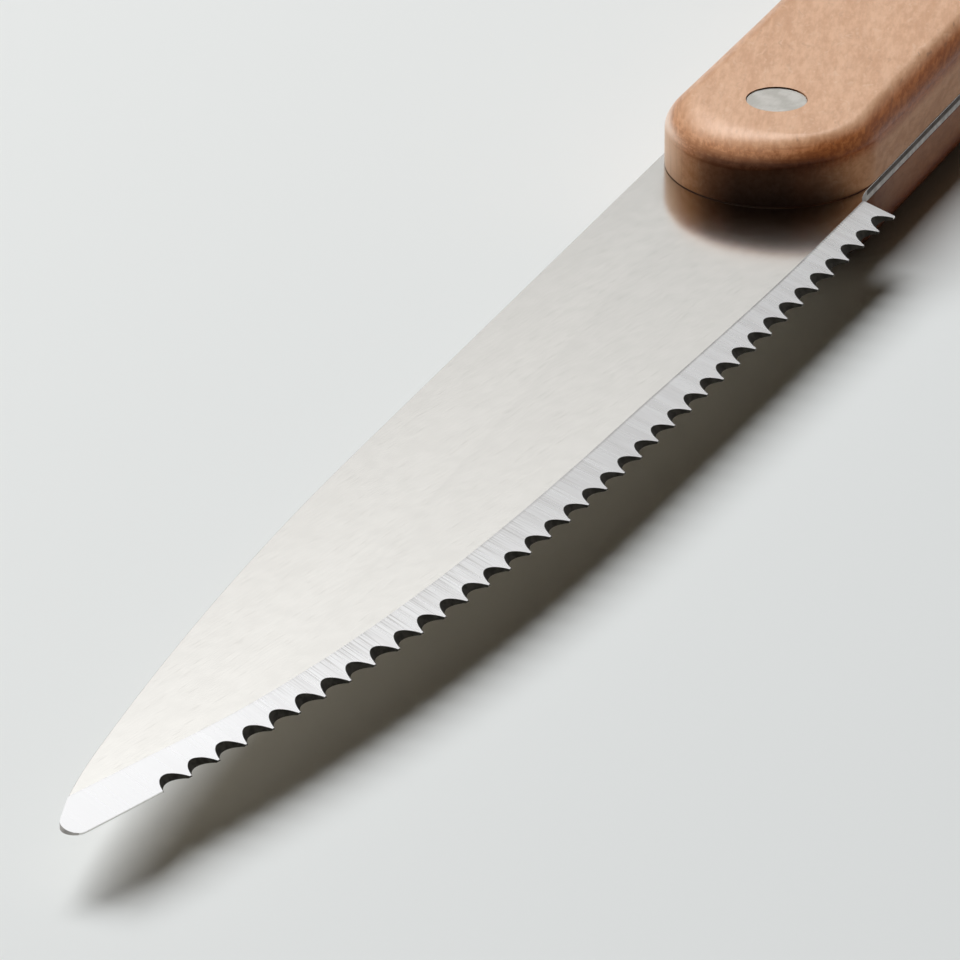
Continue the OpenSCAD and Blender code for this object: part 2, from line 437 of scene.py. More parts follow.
# %% Ground bevel with lines across it
bevel_light = (0.795, 0.80, 0.81, 1)
bevel_dark = (0.725, 0.725, 0.732, 1)
bevel_smooth = (0.745, 0.75, 0.765, 1)
bevel_wander = 0.00027
wander_peak = 0.054
wander_run = 0.076
wander_shade = 0.16
tip_shade = 0.765
tip_flare = 0.0004
flare_from = 0.098
flare_l = 0.014
smooth_span = (0.088, 0.104)
tip_shade_span = (0.096, 0.110)
chatter_rise = (0.042, 0.066)
chatter_end = (0.086, 0.104)
border_span = (0.030, 0.085)
polish_span = (0.084, 0.100)
comb_short, comb_long = 0.0009, 0.0036
border_full, border_w = 0.00003, 0.00022
comb_colour = (0.42, 0.415, 0.405, 1)
border_reflection_colour = (0.33, 0.32, 0.31, 1)

ground_bevel, tree, shader = material("ground_bevel")
edge_map = add(tree, "ShaderNodeUVMap", uv_map=map_name).outputs[0]
edge_mm = vector_calc(tree, "SCALE", {0: edge_map, "Scale": 1000 * map_unit})
run, depth, _ = split(tree, edge_mm)
across = join(tree, depth, run)


def along_edge(span, to_low=0.0, to_high=1.0):
    """A value that changes over a span of the edge."""
    return ramp(tree, run, span[0] * 1000, span[1] * 1000, to_low, to_high)


lines = streak(tree, across, 14.0, 0.2)
broad = streak(tree, across, 14.0, 1.5)
patchy = blotch(tree, across, 3.0)
tone = calc(tree, "ADD", times(tree, lines, 0.12), times(tree, broad, 0.88))
base = mix(tree, ramp(tree, tone, 0.38, 0.62), bevel_dark, bevel_light)
base = mix(tree, along_edge(smooth_span), base, bevel_smooth)
# Painted shade along the edge: darker where the bevel is widest and flattest, and towards the tip, to hold
# back the brighter light its slope mirrors.
from_peak = calc(tree, "SUBTRACT", run, wander_peak * 1000)
swing = times(tree, from_peak, 2 * math.pi / wander_run / 1000)
edge_shade = calc(tree, "MULTIPLY_ADD", calc(tree, "COSINE", swing), -wander_shade, 1.0)
edge_shade = times(tree, edge_shade, along_edge(tip_shade_span, 1.0, tip_shade))
base = vector_calc(tree, "SCALE", {0: base, "Scale": edge_shade})

to_border = calc(tree, "SUBTRACT", bevel_w * 1000, depth)
only_run = join(tree, 0.0, run)
reach = streak(tree, only_run, 1.0, 0.5)
reach = ramp(tree, reach, 0.36, 0.60, comb_short * 1000, comb_long * 1000)
fading = ramp(tree, to_border, 0.0, reach, 1.0, 0.0)
rising = along_edge(chatter_rise, 0.2, 1.0)
chatter = times(tree, rising, along_edge(chatter_end, 1.0, 0.05))
thin = streak(tree, across, 20.0, 0.22)
comb = times(tree, times(tree, fading, chatter), ramp(tree, thin, 0.47, 0.64))
base = mix(tree, times(tree, comb, 0.7), base, comb_colour)
# A thin dark line along the bevel's border: a painted darker reflection of the steeper start of a hollow
# grind.
uneven = times(tree, ramp(tree, patchy, 0.3, 0.6, 0.6, 1.0), along_edge(border_span, 0.8, 0.1))
near_border = ramp(tree, to_border, border_full * 1000, border_w * 1000, 1.0, 0.0)
border = times(tree, near_border, uneven)
base = mix(tree, border, base, border_reflection_colour)
lengthwise = add(tree, "ShaderNodeTangent", direction_type="UV_MAP", uv_map=map_name)
rough = along_edge(polish_span, 0.02, 0.004)
bump = add(tree, "ShaderNodeBump", {"Height": lines, "Strength": rough, "Distance": grind_depth})
fill(tree, shader, {
    "Base Color": base, "Metallic": 1.0, "Roughness": ramp(tree, lines, 0.3, 0.7, 0.27, 0.29),
    "Tangent": lengthwise.outputs[0], "Anisotropic": 0.5, "Normal": bump.outputs[0]})
print("made", ground_bevel.name)

# %% Sheared walls, and gullet walls painted dark as shade
wall_light = (0.50, 0.475, 0.45, 1)
wall_dark = (0.31, 0.295, 0.28, 1)
# The gullet walls are painted near black: painted shade, as they mirror the shadowed floor.
gullet_shade_light = (0.085, 0.08, 0.068, 1)
gullet_shade_dark = (0.045, 0.042, 0.036, 1)


def cut_wall(name, light, dark, size):
    """Bare cut metal, blotchy, with blotches of one size."""
    made, tree, shader = material(name)
    cloudy = blotch(tree, turned_position(tree), size)
    base = mix(tree, ramp(tree, cloudy, 0.35, 0.65), dark, light)
    fill(tree, shader, {
        "Base Color": base, "Metallic": 1.0, "Roughness": ramp(tree, cloudy, 0.3, 0.7, 0.38, 0.52)})
    print("made", made.name)
    return made


sheared_wall = cut_wall("sheared_wall", wall_light, wall_dark, 0.8)
shaded_gullet_wall = cut_wall("shaded_gullet_wall", gullet_shade_light, gullet_shade_dark, 0.5)
tang_wall = cut_wall("tang_wall", wall_light, wall_dark, 0.8)

# %% Painted seam shadow along the upper half of the tang's wall
seam_shadow_colour = (0.06, 0.042, 0.034, 1)
seam_shadow_share = 0.5
seam_shadow_blur = 0.00006

tree = tang_wall.node_tree
shader = tree.nodes["Principled BSDF"]
metal = shader.inputs["Base Color"].links[0].from_socket
height = split(tree, add(tree, "ShaderNodeTexCoord").outputs["Object"])[2]
# Painted shadow: the upper half of the tang's wall is dark, as the seam under the upper scale shades it.
seam_shadow_z = blade_hi.z - seam_shadow_share * blade_t
shadowed = ramp(tree, height, seam_shadow_z - seam_shadow_blur, seam_shadow_z + seam_shadow_blur)
fill(tree, shader, {"Base Color": mix(tree, shadowed, metal, seam_shadow_colour)})
print("oiled the upper half of", tang_wall.name)

# %% [markdown]
# ## Beech
# Beech is pinkish tan, almost without figure, and full of short flecks that lie along the grain: pale ones
# where the fibres catch the light and brown ones where a ray is cut. A picture of a board could be wrapped
# round the scale, but a pattern that is worked out from the position runs through the wood without a seam.
# The grain runs a little askew to the handle, as it does in scales cut cheaply from a board. A light oil
# leaves a soft sheen, worn down along the edge's side, where fingers lie. Where the rim is rounded its fibres
# show as streaks, and it is painted darker and more orange as shade, most of all on the edge's side, which
# faces away from the light. On the spine's side, which faces the light, the rounded rim gets a pale painted
# sheen. Walls that face forward and faces that point downwards are painted darker as shade. The end grain of
# the front is dark, dull and has faint upright lines; its darkness is partly its own and partly painted
# shade, darkest where it faces straight forward, and the walls just above the blade get a painted contact
# shadow. The lower scale is painted darker as shade all over, and more so towards its bottom and near its
# front, under the blade.

# %% Oiled beech
grain_turn = math.radians(-18)
beech_light = (0.715, 0.412, 0.243, 1)
beech_mid = (0.565, 0.288, 0.146, 1)
beech_pale_fleck = (0.78, 0.52, 0.35, 1)
beech_ray = (0.40, 0.20, 0.105, 1)
beech_scrape = (0.16, 0.07, 0.035, 1)
spine_rim_shade = (0.98, 0.88, 0.82, 1)
front_rim_shade = (1.0, 0.84, 0.73, 1)
edge_rim_shade = (0.73, 0.43, 0.225, 1)
streak_tint = (0.70, 0.62, 0.55, 1)
beech_painted_sheen = (0.97, 0.76, 0.62, 1)
wall_shade_tint = (0.89, 0.76, 0.64, 1)
downward_shade_tint = (0.55, 0.48, 0.42, 1)
end_grain_shade_tint = (0.29, 0.26, 0.28, 1)
facing_shade_tint = (0.58, 0.64, 0.70, 1)
front_shade_tint = (0.35, 0.30, 0.27, 1)
front_shade_l = 0.014
front_shade_end = 0.004
fibre_depth = 0.00004
foot_shadow_tint = (0.46, 0.52, 0.62, 1)
foot_shadow_l = 0.0032
bottom_shade_tint = (0.62, 0.55, 0.52, 1)
bottom_shade_shares = (0.6, 0.2)
front_turn = math.radians(15)
front_side = Vector((math.cos(front_turn), math.sin(front_turn), 0))


def oiled_beech(name, overall_shade_tint, end_from, end_to, low_shade):
    """Beech with a painted shade tint over all of it, the reach of its darkened end grain, and how much
    painted shade it gets low down and near its front.
    """
    made, tree, shader = material(name)

    position = turned_position(tree, grain_turn)
    fibre = streak(tree, position, 3.0, 0.16)
    bands = streak(tree, position, 18.0, 2.2)
    short = streak(tree, position, 1.7, 0.55)
    pale = fleck(tree, position, 1.9, 0.42, 0.5, 1.8)
    rays = fleck(tree, position, 2.2, 0.38, 0.2, 1.6)
    tone = calc(tree, "ADD", times(tree, fibre, 0.12), times(tree, bands, 0.38))
    tone = calc(tree, "ADD", tone, times(tree, short, 0.5))
    base = mix(tree, ramp(tree, tone, 0.38, 0.62), beech_mid, beech_light)
    pale_part = times(tree, pale["Fleck"], ramp(tree, pale["Tone"], 0.0, 1.0, 0.0, 0.36))
    base = mix(tree, pale_part, base, beech_pale_fleck)
    ray_part = times(tree, rays["Fleck"], ramp(tree, rays["Tone"], 0.0, 1.0, 0.05, 0.34))
    base = mix(tree, ray_part, base, beech_ray)

    normal = add(tree, "ShaderNodeTexCoord").outputs["Normal"]
    across, sideways, upright = split(tree, normal)
    lean = calc(tree, "ABSOLUTE", upright)
    rounded = times(tree, ramp(tree, lean, 0.98, 0.68), ramp(tree, lean, 0.0, 0.07))
    long_fibre = streak(tree, position, 7.0, 0.3)
    x, y, z = split(tree, position)
    rim_grain = join(tree, y, z)
    rim_fibre = streak(tree, rim_grain, 4.5, 0.3)
    rim_fibre = times(tree, rim_fibre, ramp(tree, across, 0.2, 0.6))
    fibres = calc(tree, "MAXIMUM", long_fibre, rim_fibre)
    streaky = times(tree, rounded, ramp(tree, fibres, 0.42, 0.60, 0.0, 0.85))
    # Painted shade on the rounded rim: darker and more orange, weak on the spine's side, which faces the
    # light, and strongest on the edge's side, which faces away from it.
    rim_shade_tint = mix(tree, ramp(tree, sideways, -0.45, 0.0), spine_rim_shade, front_rim_shade)
    fingers = ramp(tree, sideways, 0.05, 0.40)
    rim_shade_tint = mix(tree, ramp(tree, sideways, 0.05, 0.70), rim_shade_tint, edge_rim_shade)
    base = tinted(tree, rounded, base, rim_shade_tint)
    base = tinted(tree, streaky, base, streak_tint)
    scrapes = fleck(tree, position, 3.0, 0.32, 0.09, 0.8)["Fleck"]
    scraped = times(tree, ramp(tree, sideways, 0.03, 0.25), ramp(tree, lean, 0.5, 0.8, 0.0, 0.45))
    base = mix(tree, times(tree, scrapes, scraped), base, beech_scrape)
    # Painted sheen: the rounded rim on the spine's side, which faces the light, is paler.
    lit_rim = times(tree, ramp(tree, sideways, -0.45, -0.80), ramp(tree, lean, 0.80, 0.40))
    base = mix(tree, times(tree, lit_rim, 0.8), base, beech_painted_sheen)

    to_front = agree(tree, normal, front_side)
    steep = times(tree, ramp(tree, lean, 0.7, 0.0), ramp(tree, to_front, -0.1, 0.4))
    # Painted shade on the walls that face forward, away from the light.
    base = tinted(tree, steep, base, wall_shade_tint)
    # Painted shade on faces that point downwards.
    base = tinted(tree, ramp(tree, upright, -0.2, -0.6), base, downward_shade_tint)
    # The front's end grain is darkened: partly the end grain's own colour, partly painted shade, as it faces
    # away from the light.
    end = times(tree, ramp(tree, to_front, end_from, end_to), ramp(tree, lean, 0.80, 0.22))
    end = times(tree, end, ramp(tree, sideways, -0.65, -0.25))
    upright_grain = join(tree, z, x, y)
    upright_lines = streak(tree, upright_grain, 9.0, 0.35)
    wall = times(tree, ramp(tree, lean, 0.3, 0.05), ramp(tree, across, 0.1, 0.6))
    lined = times(tree, wall, ramp(tree, upright_lines, 0.45, 0.65, 0.0, 0.2))
    base = mix(tree, lined, base, beech_ray)
    base = tinted(tree, end, base, end_grain_shade_tint)
    # Painted shade, darkest where the front wall faces straight forward.
    facing_shade = times(tree, ramp(tree, to_front, 0.92, 0.99), ramp(tree, lean, 0.15, 0.0))
    base = tinted(tree, facing_shade, base, facing_shade_tint)
    at = add(tree, "ShaderNodeTexCoord").outputs["Object"]
    handle_x, _, height = split(tree, at)
    # Painted contact shadow on the walls just above the blade.
    foot_shadow = ramp(tree, height, blade_hi.z + foot_shadow_l, blade_hi.z)
    foot_shadow = times(tree, foot_shadow, ramp(tree, across, 0.3, 0.7))
    base = tinted(tree, times(tree, foot_shadow, ramp(tree, sideways, -0.4, 0.05)), base, foot_shadow_tint)
    # Painted shade on the lower scale: darker towards its bottom, and near its front, under the blade.
    low_from, low_to = (share * blade_lo.z for share in bottom_shade_shares)
    base = tinted(tree, ramp(tree, height, low_from, low_to, 0.0, low_shade), base, bottom_shade_tint)
    front_shade_x = upper_hi.x - front_shade_end
    near_front = ramp(tree, handle_x, front_shade_x - front_shade_l, front_shade_x, 0.0, low_shade)
    base = tinted(tree, near_front, base, front_shade_tint)
    # Painted shade over the whole scale: the lower one lies in the shade of the blade and tang.
    base = tinted(tree, 1.0, base, overall_shade_tint)
    worn = times(tree, fingers, ramp(tree, lean, 0.98, 0.70, 0.0, 0.6))
    dulled = calc(tree, "MAXIMUM", steep, worn)
    bump = add(tree, "ShaderNodeBump", {"Height": fibre, "Strength": 0.12, "Distance": fibre_depth})
    fill(tree, shader, {
        "Base Color": base, "Roughness": ramp(tree, fibre, 0.3, 0.7, 0.28, 0.38),
        "Specular IOR Level": ramp(tree, dulled, 0.0, 1.0, 0.85, 0.05), "Normal": bump.outputs[0]})
    print("made", made.name)
    return made


upper_wood = oiled_beech("upper_beech_oiled", (1.0, 1.0, 1.0, 1), end_from=0.60, end_to=0.96, low_shade=0.0)
lower_wood = oiled_beech("lower_beech_oiled", (0.60, 0.50, 0.43, 1), end_from=0.45, end_to=0.8, low_shade=1.0)

# %% Sanded rivet metal
rivet_light = (0.48, 0.467, 0.44, 1)
rivet_dark = (0.385, 0.372, 0.345, 1)

rivet_metal, tree, shader = material("sanded_rivet")
position = turned_position(tree)
cloudy = blotch(tree, position, 1.6)
scuffs = streak(tree, position, 1.5, 0.1)
base = mix(tree, ramp(tree, cloudy, 0.35, 0.65), rivet_dark, rivet_light)
fill(tree, shader, {
    "Base Color": base, "Metallic": 1.0, "Roughness": ramp(tree, scuffs, 0.3, 0.7, 0.32, 0.45)})
print("made", rivet_metal.name)

# %% [markdown]
# ## Blade: the blank
# A blade like this is stamped from sheet. Its plan is a straight spine that bends into a long arc, a small
# round tip, another long arc and a straight run for the edge, then the heel, a hollow shoulder and the tang
# with its round butt. A curve could be traced by eye, but arcs that meet smoothly need few sizes and keep to
# the drawing. The plan is drawn from the heel's corner on the spine. The rims are eased a little, because a
# press leaves no perfectly sharp corner.

# %% Draw the plan
rim_ease = 0.00003
arc_n = 64
tip_n = 48
shoulder_n = 12


def polar(angle):
    """A step of one in a direction."""
    return Vector((math.cos(angle), math.sin(angle)))


def arc(centre, radius, start, stop, count=arc_n):
    """Points of an arc after its first one."""
    return [centre + radius * polar(start + (stop - start) * i / count) for i in range(1, count + 1)]


def bearing(centre, point):
    """The direction from a centre to a point."""
    away = point - centre
    return math.atan2(away.y, away.x)


def arc_radius(along, aside):
    """Radius of an arc that leaves a line smoothly and ends smoothly inside the round tip."""
    return (along ** 2 + aside ** 2 - tip_r ** 2) / (2 * (aside - tip_r))


tip_c = Vector((blade_l - tip_r, tip_drop))
heel = Vector((0, blade_w))
edge_dir = Vector((math.cos(edge_taper), -math.sin(edge_taper)))
edge_in = Vector((-math.sin(edge_taper), -math.cos(edge_taper)))
edge_turn = heel + edge_straight * edge_dir
edge_r = arc_radius((tip_c - edge_turn).dot(edge_dir), (tip_c - edge_turn).dot(edge_in))
edge_c = edge_turn + edge_r * edge_in
edge_end = bearing(edge_c, tip_c)
edge_start = math.pi / 2 - edge_taper
bend = Vector((tip_c.x - bend_l, spine_fall))
spine_r = ((bend.x - spine_straight) ** 2 + spine_fall ** 2) / (2 * spine_fall)
spine_c = Vector((spine_straight, spine_r))
bend_start = bearing(spine_c, bend)
to_tip = tip_c - bend
bend_r = arc_radius(to_tip.dot(polar(bend_start + math.pi / 2)), -to_tip.dot(polar(bend_start)))
bend_c = bend - bend_r * polar(bend_start)
bend_end = bearing(bend_c, tip_c)
shoulder_run = math.sqrt(shoulder_r ** 2 - (shoulder_r - shoulder_rise) ** 2)
shoulder_c = Vector((-shoulder_run, handle_w + shoulder_r))
shoulder = Vector((0, handle_w + shoulder_rise))
butt_c = Vector((blade_lo.x - heel_x + end_r, end_r))

plan = [Vector((spine_straight, 0))]
plan += arc(spine_c, spine_r, -math.pi / 2, bend_start)
plan += arc(bend_c, bend_r, bend_start, bend_end, tip_n)
plan += arc(tip_c, tip_r, bend_end, edge_end, tip_n)
plan += arc(edge_c, edge_r, edge_end, edge_start)
plan += [heel, shoulder]
plan += arc(shoulder_c, shoulder_r, bearing(shoulder_c, shoulder), -math.pi / 2, shoulder_n)
plan += [Vector((butt_c.x, handle_w))]
plan += arc(butt_c, end_r, math.pi / 2, 3 * math.pi / 2)
print(len(plan), "points in the plan")


# %% Where a point lies from the edge
def edge_place(point):
    """Distance along the edge from the heel, and distance in from it."""
    run = (point - heel).dot(edge_dir)
    if run < edge_straight:
        return run, (point - heel).dot(edge_in)
    away = point - edge_c
    return edge_straight + edge_r * (edge_start - math.atan2(away.y, away.x)), edge_r - away.length


def edge_point(run, out=0.0):
    """The point at a distance along the edge, moved out from it."""
    angle = edge_start - max(0.0, run - edge_straight) / edge_r
    turned = edge_r * (polar(angle) - polar(edge_start))
    return heel + min(run, edge_straight) * edge_dir + turned + out * polar(angle)


edge_l = edge_straight + edge_r * (edge_start - edge_end)
tooth_n = math.floor((edge_l - tooth_lead - plain_l) / tooth_pitch)
print(f"{tooth_n} gullets along {edge_l:.4f} m of edge")


# %% Draw the section of one gullet
gullet_half = (tooth_pitch - tooth_flat) / 2
bevel_tilt = math.atan((blade_t - edge_t) / bevel_w)
wheel_in = gullet_d * math.sin(gullet_tilt - bevel_tilt)
wheel_r = (gullet_half ** 2 + wheel_in ** 2) / (2 * wheel_in)
wheel_turn = math.atan(math.tan(gullet_skew) * math.sin(gullet_tilt))
wheel_c = Vector((wheel_in - wheel_r, 0))
wheel_mouth = math.asin(gullet_half / wheel_r)
gullet_n = 40

gullet_outline = [wheel_c + wheel_r * polar(-wheel_mouth)]
gullet_outline += arc(wheel_c, wheel_r, -wheel_mouth, wheel_mouth, gullet_n)
gullet_outline += [Vector((-overrun, gullet_half)), Vector((-overrun, -gullet_half))]
print(f"gullets ground by a wheel of {wheel_r:.5f} m radius")


# %% [markdown]
# The blank is the plan, stacked. Two more solids go into the same mesh, each with a mark on its faces: the
# wedge that the grinding wheel takes away, and one cutter for a gullet. A small round wheel grinds the
# gullets from above, tilted down over the bevel and turned a little, so their walls slant and show from the
# bevel's side. The bevel's own wheel is held by hand: the bevel is wide in the middle of the blade and again
# at the tip.

# %% Stack the blank, and loft the wedge and the cutter
wedge_n = 100


def bevel_at(run):
    """Width of the bevel at a distance along the edge."""
    wander = bevel_wander * math.cos(2 * math.pi * (run - wander_peak) / wander_run)
    flare = min(1, max(0, (run - flare_from) / flare_l))
    return bevel_w + wander + tip_flare * flare * flare * (3 - 2 * flare)


def loft(build, rings, mark=None):
    """Closed rings of points joined into a skin, with both ends capped."""
    made = [[build.verts.new(p) for p in ring] for ring in rings]
    count = len(made[0])
    faces = [build.faces.new((low[i], low[(i + 1) % count], high[(i + 1) % count], high[i]))
             for low, high in zip(made, made[1:]) for i in range(count)]
    faces += [build.faces.new(made[0][::-1]), build.faces.new(made[-1])]
    if mark is not None:
        for face in faces:
            face[mark] = True
    return faces


def inset(points, step):
    """The same outline, moved in along its normals."""
    moved = []
    for i, point in enumerate(points):
        ahead = points[(i + 1) % len(points)] - point
        behind = point - points[i - 1]
        side = ahead.normalized() + behind.normalized()
        inwards = Vector((-side.y, side.x)).normalized()
        moved.append(point + step * inwards)
    return moved


def at_height(points, z):
    """Points of the plan, in their place in the frame."""
    return [(heel_x + p.x, spine_y + p.y, z) for p in points]


def as_object(name, build):
    """A built mesh as an object of the scene, with its faces turned outward."""
    bmesh.ops.recalc_face_normals(build, faces=build.faces)
    mesh = bpy.data.meshes.new(name)
    build.to_mesh(mesh)
    build.free()
    return show(name, mesh)


rim_steps = [(1 - math.cos(a), 1 - math.sin(a)) for a in (math.pi / 2, math.pi / 4, 0)]
build = bmesh.new()
wheel = build.faces.layers.bool.new("wheel")
cutter = build.faces.layers.bool.new("cutter")
low_rings = [at_height(inset(plan, rim_ease * i), blade_lo.z + rim_ease * d) for i, d in rim_steps]
high_rings = [at_height(inset(plan, rim_ease * i), blade_hi.z - rim_ease * d) for i, d in reversed(rim_steps)]
loft(build, low_rings + high_rings)

wedge = []
for i in range(wedge_n + 1):
    run = (edge_l + tip_r + 2 * overrun) * i / wedge_n - overrun
    slope = (blade_t - edge_t) / bevel_at(run)
    outer, inner = edge_point(run, overrun), edge_point(run, -bevel_at(run) - overrun)
    low = blade_lo.z + edge_t - slope * overrun
    high = blade_hi.z + slope * overrun
    wedge.append([(heel_x + p.x, spine_y + p.y, z) for p, z in ((outer, low), (outer, high), (inner, high))])
loft(build, wedge, wheel)

wheel_pose = Matrix.Rotation(gullet_skew, 3, "Z") @ Matrix.Rotation(math.pi / 2 + gullet_tilt, 3, "Y")
wheel_pose = wheel_pose @ Matrix.Rotation(wheel_turn, 3, "Z")
wheel_above = gullet_d + overrun
wheel_below = (edge_t + overrun) / math.sin(gullet_tilt)
loft(build, [[wheel_pose @ Vector((p.x, p.y, along)) + Vector((0, 0, edge_t)) for p in gullet_outline]
             for along in (-wheel_above, wheel_below)], cutter)
ground_blade = as_object("ground_blade", build)
print("blank, wedge and cutter:", len(ground_blade.data.polygons), "faces")

# %% [markdown]
# ## Blade: grinding, drilling and toothing with geometry nodes
# The gullets repeat along a path, and cutting them is a rule: step along the edge by one pitch, put the
# cutter there, turned with the edge, and take it away. Geometry Nodes write that rule down once. The tree
# below first takes the wedge off the blank, then places the cutters along the straight and curved edge by
# their index, adds a drill for each rivet, and cuts both. Every size is a named input of the tree.

# %% Helpers for geometry trees
drill_n = 64


def geometry_tree(name, values):
    """An empty geometry tree with an input for each named value, and its two ends."""
    kinds = {int: "Int", float: "Float", Vector: "Vector", bpy.types.Material: "Material"}
    inputs = {"Geometry": "Geometry"} | {title: kinds[type(value)] for title, value in values.items()}
    return group("Geometry", name, inputs, {"Geometry": "Geometry"})


def cut(tree, body, cutter):
    """One mesh with another taken away."""
    return add(tree, "GeometryNodeMeshBoolean", {0: body, 1: cutter},
               operation="DIFFERENCE", solver="EXACT").outputs[0]


def finish_tree(tree, result, surface, end):
    """The last two nodes of every tree: real geometry, with its material."""
    real = add(tree, "GeometryNodeRealizeInstances", {0: result})
    dressed = add(tree, "GeometryNodeSetMaterial", {0: real.outputs[0], "Material": surface})
    tree.links.new(dressed.outputs[0], end["Geometry"])


def run_tree(owner, tree, inputs):
    """The tree's result as the object's own plain mesh."""
    modifier = owner.modifiers.new(tree.name, "NODES")
    modifier.node_group = tree
    for item in tree.interface.items_tree:
        if item.in_out == "INPUT" and item.name in inputs:
            modifier[item.identifier] = inputs[item.name]
    graph = bpy.context.evaluated_depsgraph_get()
    result = bpy.data.meshes.new_from_object(owner.evaluated_get(graph))
    owner.modifiers.remove(modifier)
    owner.data = result
    print(owner.name, "has", len(result.polygons), "faces")
    return result


def rivet_places(tree, start, step, count):
    """One point for each rivet along the handle."""
    return add(tree, "GeometryNodeMeshLine", {"Count": count, "Start Location": start, "Offset": step})


# %% Build the tree that cuts the blade
blade_sizes = {
    "Tooth Count": tooth_n, "Tooth Pitch": tooth_pitch, "Tooth Lead": tooth_lead,
    "Heel": Vector((heel_x + heel.x, spine_y + heel.y, blade_lo.z)), "Straight Run": edge_straight,
    "Edge Direction": Vector((edge_dir.x, edge_dir.y, 0)), "Edge Bearing": edge_start, "Edge Radius": edge_r,
    "First Rivet": Vector((front_rivet.x, middle_y, blade_lo.z)), "Rivet Step": rivet_step,
    "Rivet Count": rivet_n, "Hole Radius": sleeve_r + rivet_gap, "Cut Height": 4 * blade_t,
    "Steel": satin_steel,
}
tree, sizes, end = geometry_tree("cut_blade", blade_sizes)


def take_marked(geometry, mark):
    """The marked part of a mesh, and the rest of it."""
    marked = add(tree, "GeometryNodeInputNamedAttribute", {"Name": mark}, data_type="BOOLEAN").outputs[0]
    return add(tree, "GeometryNodeSeparateGeometry", {0: geometry, 1: marked}, domain="FACE").outputs


wheel_part, others = take_marked(sizes["Geometry"], "wheel")
cutter_part, blank_part = take_marked(others, "cutter")
ground = cut(tree, blank_part, wheel_part)

step = calc(tree, "ADD", add(tree, "GeometryNodeInputIndex").outputs[0], 0.5)
run = calc(tree, "MULTIPLY_ADD", step, sizes["Tooth Pitch"], sizes["Tooth Lead"])
straight = calc(tree, "MINIMUM", run, sizes["Straight Run"])
bent = calc(tree, "DIVIDE", calc(tree, "SUBTRACT", run, straight), sizes["Edge Radius"])
angle = calc(tree, "SUBTRACT", sizes["Edge Bearing"], bent)


def outward(bearing_angle):
    """The direction out from the edge's centre, as a vector."""
    return join(tree, calc(tree, "COSINE", bearing_angle), calc(tree, "SINE", bearing_angle))


along = vector_calc(tree, "SCALE", {0: sizes["Edge Direction"], "Scale": straight})
swung = vector_calc(tree, "SCALE", {0: outward(angle), "Scale": sizes["Edge Radius"]})
started = vector_calc(tree, "SCALE", {0: outward(sizes["Edge Bearing"]), "Scale": sizes["Edge Radius"]})
moved = vector_calc(tree, "ADD", {0: along, 1: vector_calc(tree, "SUBTRACT", {0: swung, 1: started})})
gullet_at = vector_calc(tree, "ADD", {0: sizes["Heel"], 1: moved})
teeth = add(tree, "GeometryNodeMeshLine", {"Count": sizes["Tooth Count"]})
teeth_placed = add(tree, "GeometryNodeSetPosition", {0: teeth.outputs[0], "Position": gullet_at})
turned = join(tree, 0.0, 0.0, angle)
gullets = add(tree, "GeometryNodeInstanceOnPoints", {
    0: teeth_placed.outputs[0], "Instance": cutter_part, "Rotation": turned})
holes = rivet_places(tree, sizes["First Rivet"], sizes["Rivet Step"], sizes["Rivet Count"])
drill = add(tree, "GeometryNodeMeshCylinder", {
    "Vertices": drill_n, "Radius": sizes["Hole Radius"], "Depth": sizes["Cut Height"]})
drills = add(tree, "GeometryNodeInstanceOnPoints", {0: holes.outputs[0], "Instance": drill.outputs[0]})
cutters = add(tree, "GeometryNodeJoinGeometry", {0: gullets.outputs[0]})
tree.links.new(drills.outputs[0], cutters.inputs[0])
solid_cutters = add(tree, "GeometryNodeRealizeInstances", {0: cutters.outputs[0]})
toothed = cut(tree, ground, solid_cutters.outputs[0])
finish_tree(tree, toothed, sizes["Steel"], end)
blade_mesh = run_tree(ground_blade, tree, blade_sizes)

# %% [markdown]
# ## Blade: finish by face
# Each face gets its finish from the way it lies: level faces are satin sheet, faces at the bevel's slope are
# ground, eased rims are satin again, and what is steeper is a cut wall. The map that the grind lines follow
# is written here too, in tenths of a metre: the distance along the edge, and the distance in from it,
# stretched so that the bevel's border always lies at the same value.

# %% Give the faces their finishes and the edge map
level_z = 0.985
bevel_z = 0.93
rim_z = 0.3
gullet_reach = 1.05 * gullet_d
blade_crease = math.radians(10)


def shade(mesh, crease):
    """Smooth shading, sharp where faces meet at more than an angle."""
    mesh.polygons.foreach_set("use_smooth", [True] * len(mesh.polygons))
    mesh.set_sharp_from_angle(angle=crease)


def finish_blade(mesh):
    """Each face of the blade with its finish, and the edge map."""
    finishes = (satin_steel, ground_bevel, sheared_wall, shaded_gullet_wall, tang_wall)
    mesh.materials.clear()
    for finish in finishes:
        mesh.materials.append(finish)
    edge_uv = mesh.uv_layers.new(name=map_name)
    for face in mesh.polygons:
        run, depth = edge_place(face.center.xy - Vector((heel_x, spine_y)))
        toothed = depth < gullet_reach and 0 < run - tooth_lead < tooth_n * tooth_pitch
        level = abs(face.normal.z) > level_z
        ground = face.normal.z > bevel_z
        eased = abs(face.normal.z) > rim_z
        held = face.center.x < upper_hi.x - end_r
        on_edge = abs(depth) < edge_t
        if level:
            finish = satin_steel
        elif ground:
            finish = ground_bevel
        elif toothed:
            finish = shaded_gullet_wall
        elif eased or on_edge:
            finish = satin_steel
        elif held:
            finish = tang_wall
        else:
            finish = sheared_wall
        face.material_index = finishes.index(finish)
        for loop in face.loop_indices:
            at = mesh.vertices[mesh.loops[loop].vertex_index].co
            run, depth = edge_place(Vector((at.x - heel_x, at.y - spine_y)))
            edge_uv.data[loop].uv = (run / map_unit, depth * bevel_w / bevel_at(run) / map_unit)
    shade(mesh, blade_crease)


